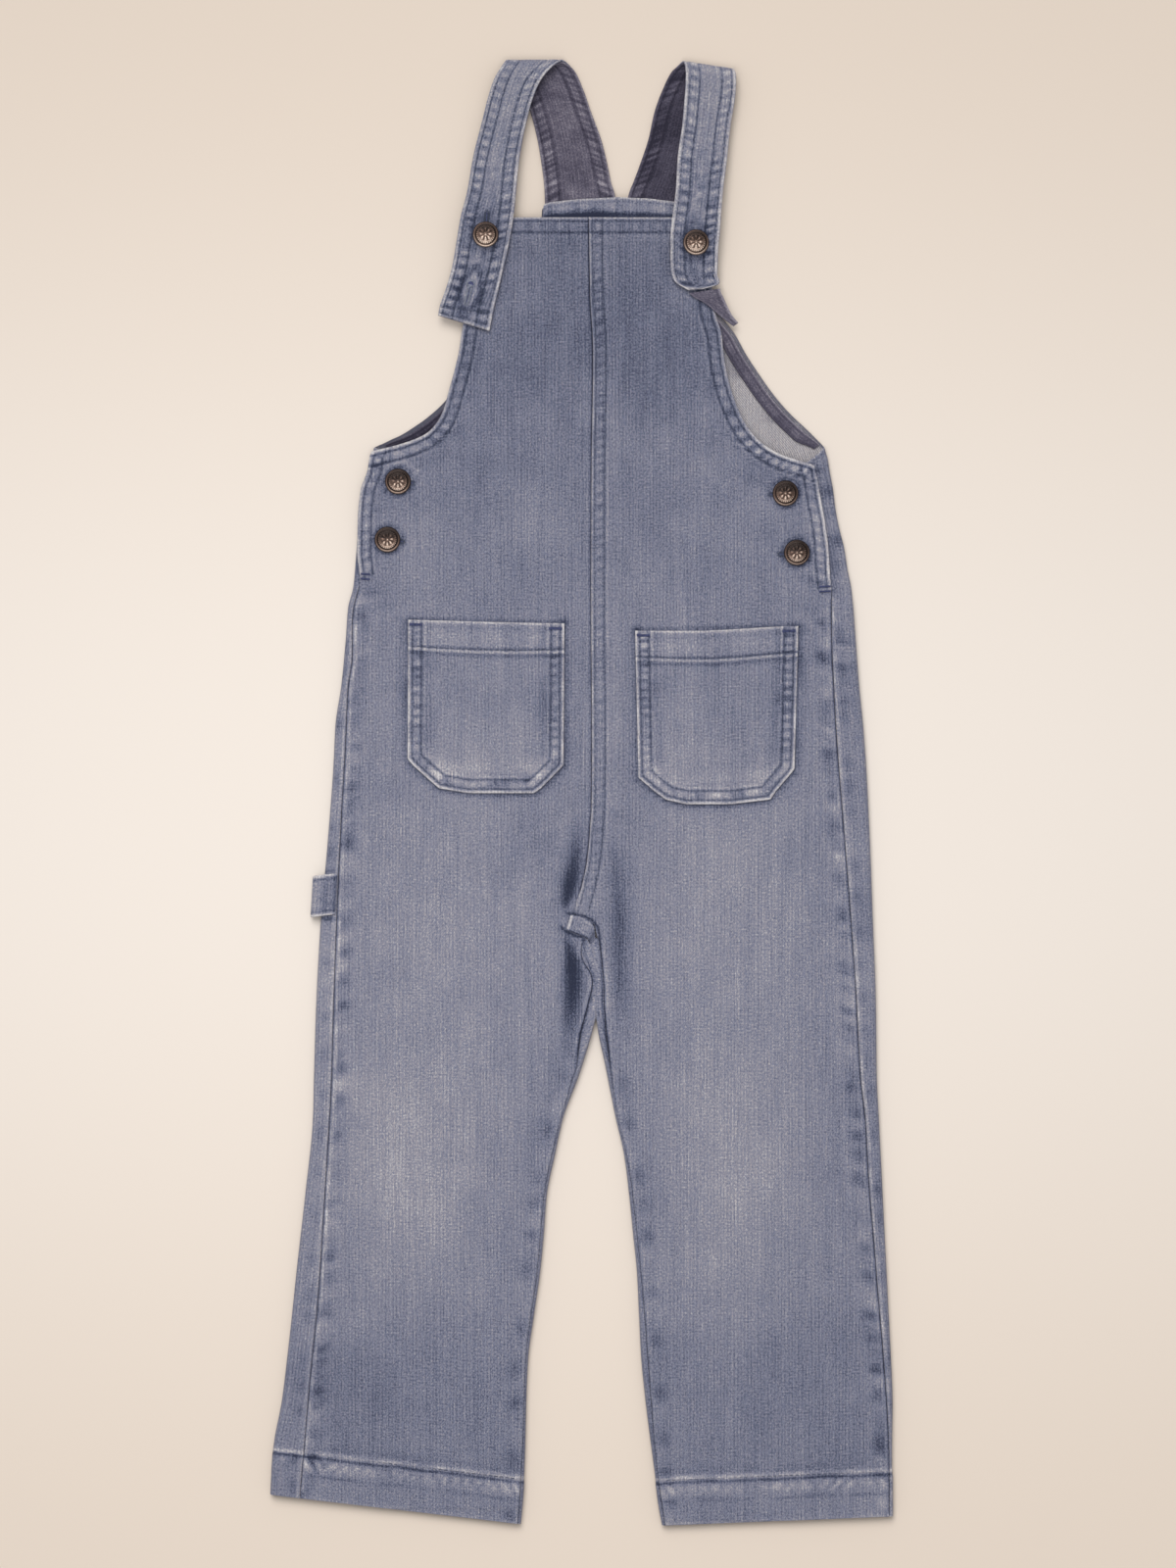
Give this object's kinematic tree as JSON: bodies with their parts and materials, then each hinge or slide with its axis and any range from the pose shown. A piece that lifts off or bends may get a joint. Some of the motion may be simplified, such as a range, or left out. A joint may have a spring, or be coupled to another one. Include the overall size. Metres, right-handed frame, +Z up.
{
  "type": "child's dungarees",
  "caption": "Child's faded denim dungarees laid flat, front up, with bib, buttoned straps, side button openings, patch pockets and a tool loop",
  "frame": {"origin": "on the surface that the dungarees lie on, under the middle of their overall box", "axes": "+Y runs along the garment from the leg ends to the straps, +X to the right as seen from above, +Z up out of the front"},
  "size_m": [0.3552, 0.8378, 0.0124],
  "materials": {
    "denim": "washed and faded grey-blue denim twill, paler on thighs and knees",
    "lining": "plain violet-grey chambray",
    "metal": "antique copper-brown, worn bright on the raised parts"
  },
  "bodies": {
    "root": {"front_left": "denim", "front_right": "denim", "back_left": "denim", "back_right": "denim", "back_top_facing": "denim", "back_facing_left": "lining", "back_facing_right": "lining", "strap_left": "denim", "strap_right": "denim", "strap_lining_left": "lining", "strap_lining_right": "lining", "pocket_left": "denim", "pocket_right": "denim", "hammer_loop": "denim", "seat_seam_end": "denim", "button_strap_left": "metal", "button_strap_right": "metal", "button_side_left_upper": "metal", "button_side_left_lower": "metal", "button_side_right_upper": "metal", "button_side_right_lower": "metal"}
  },
  "joints": []
}
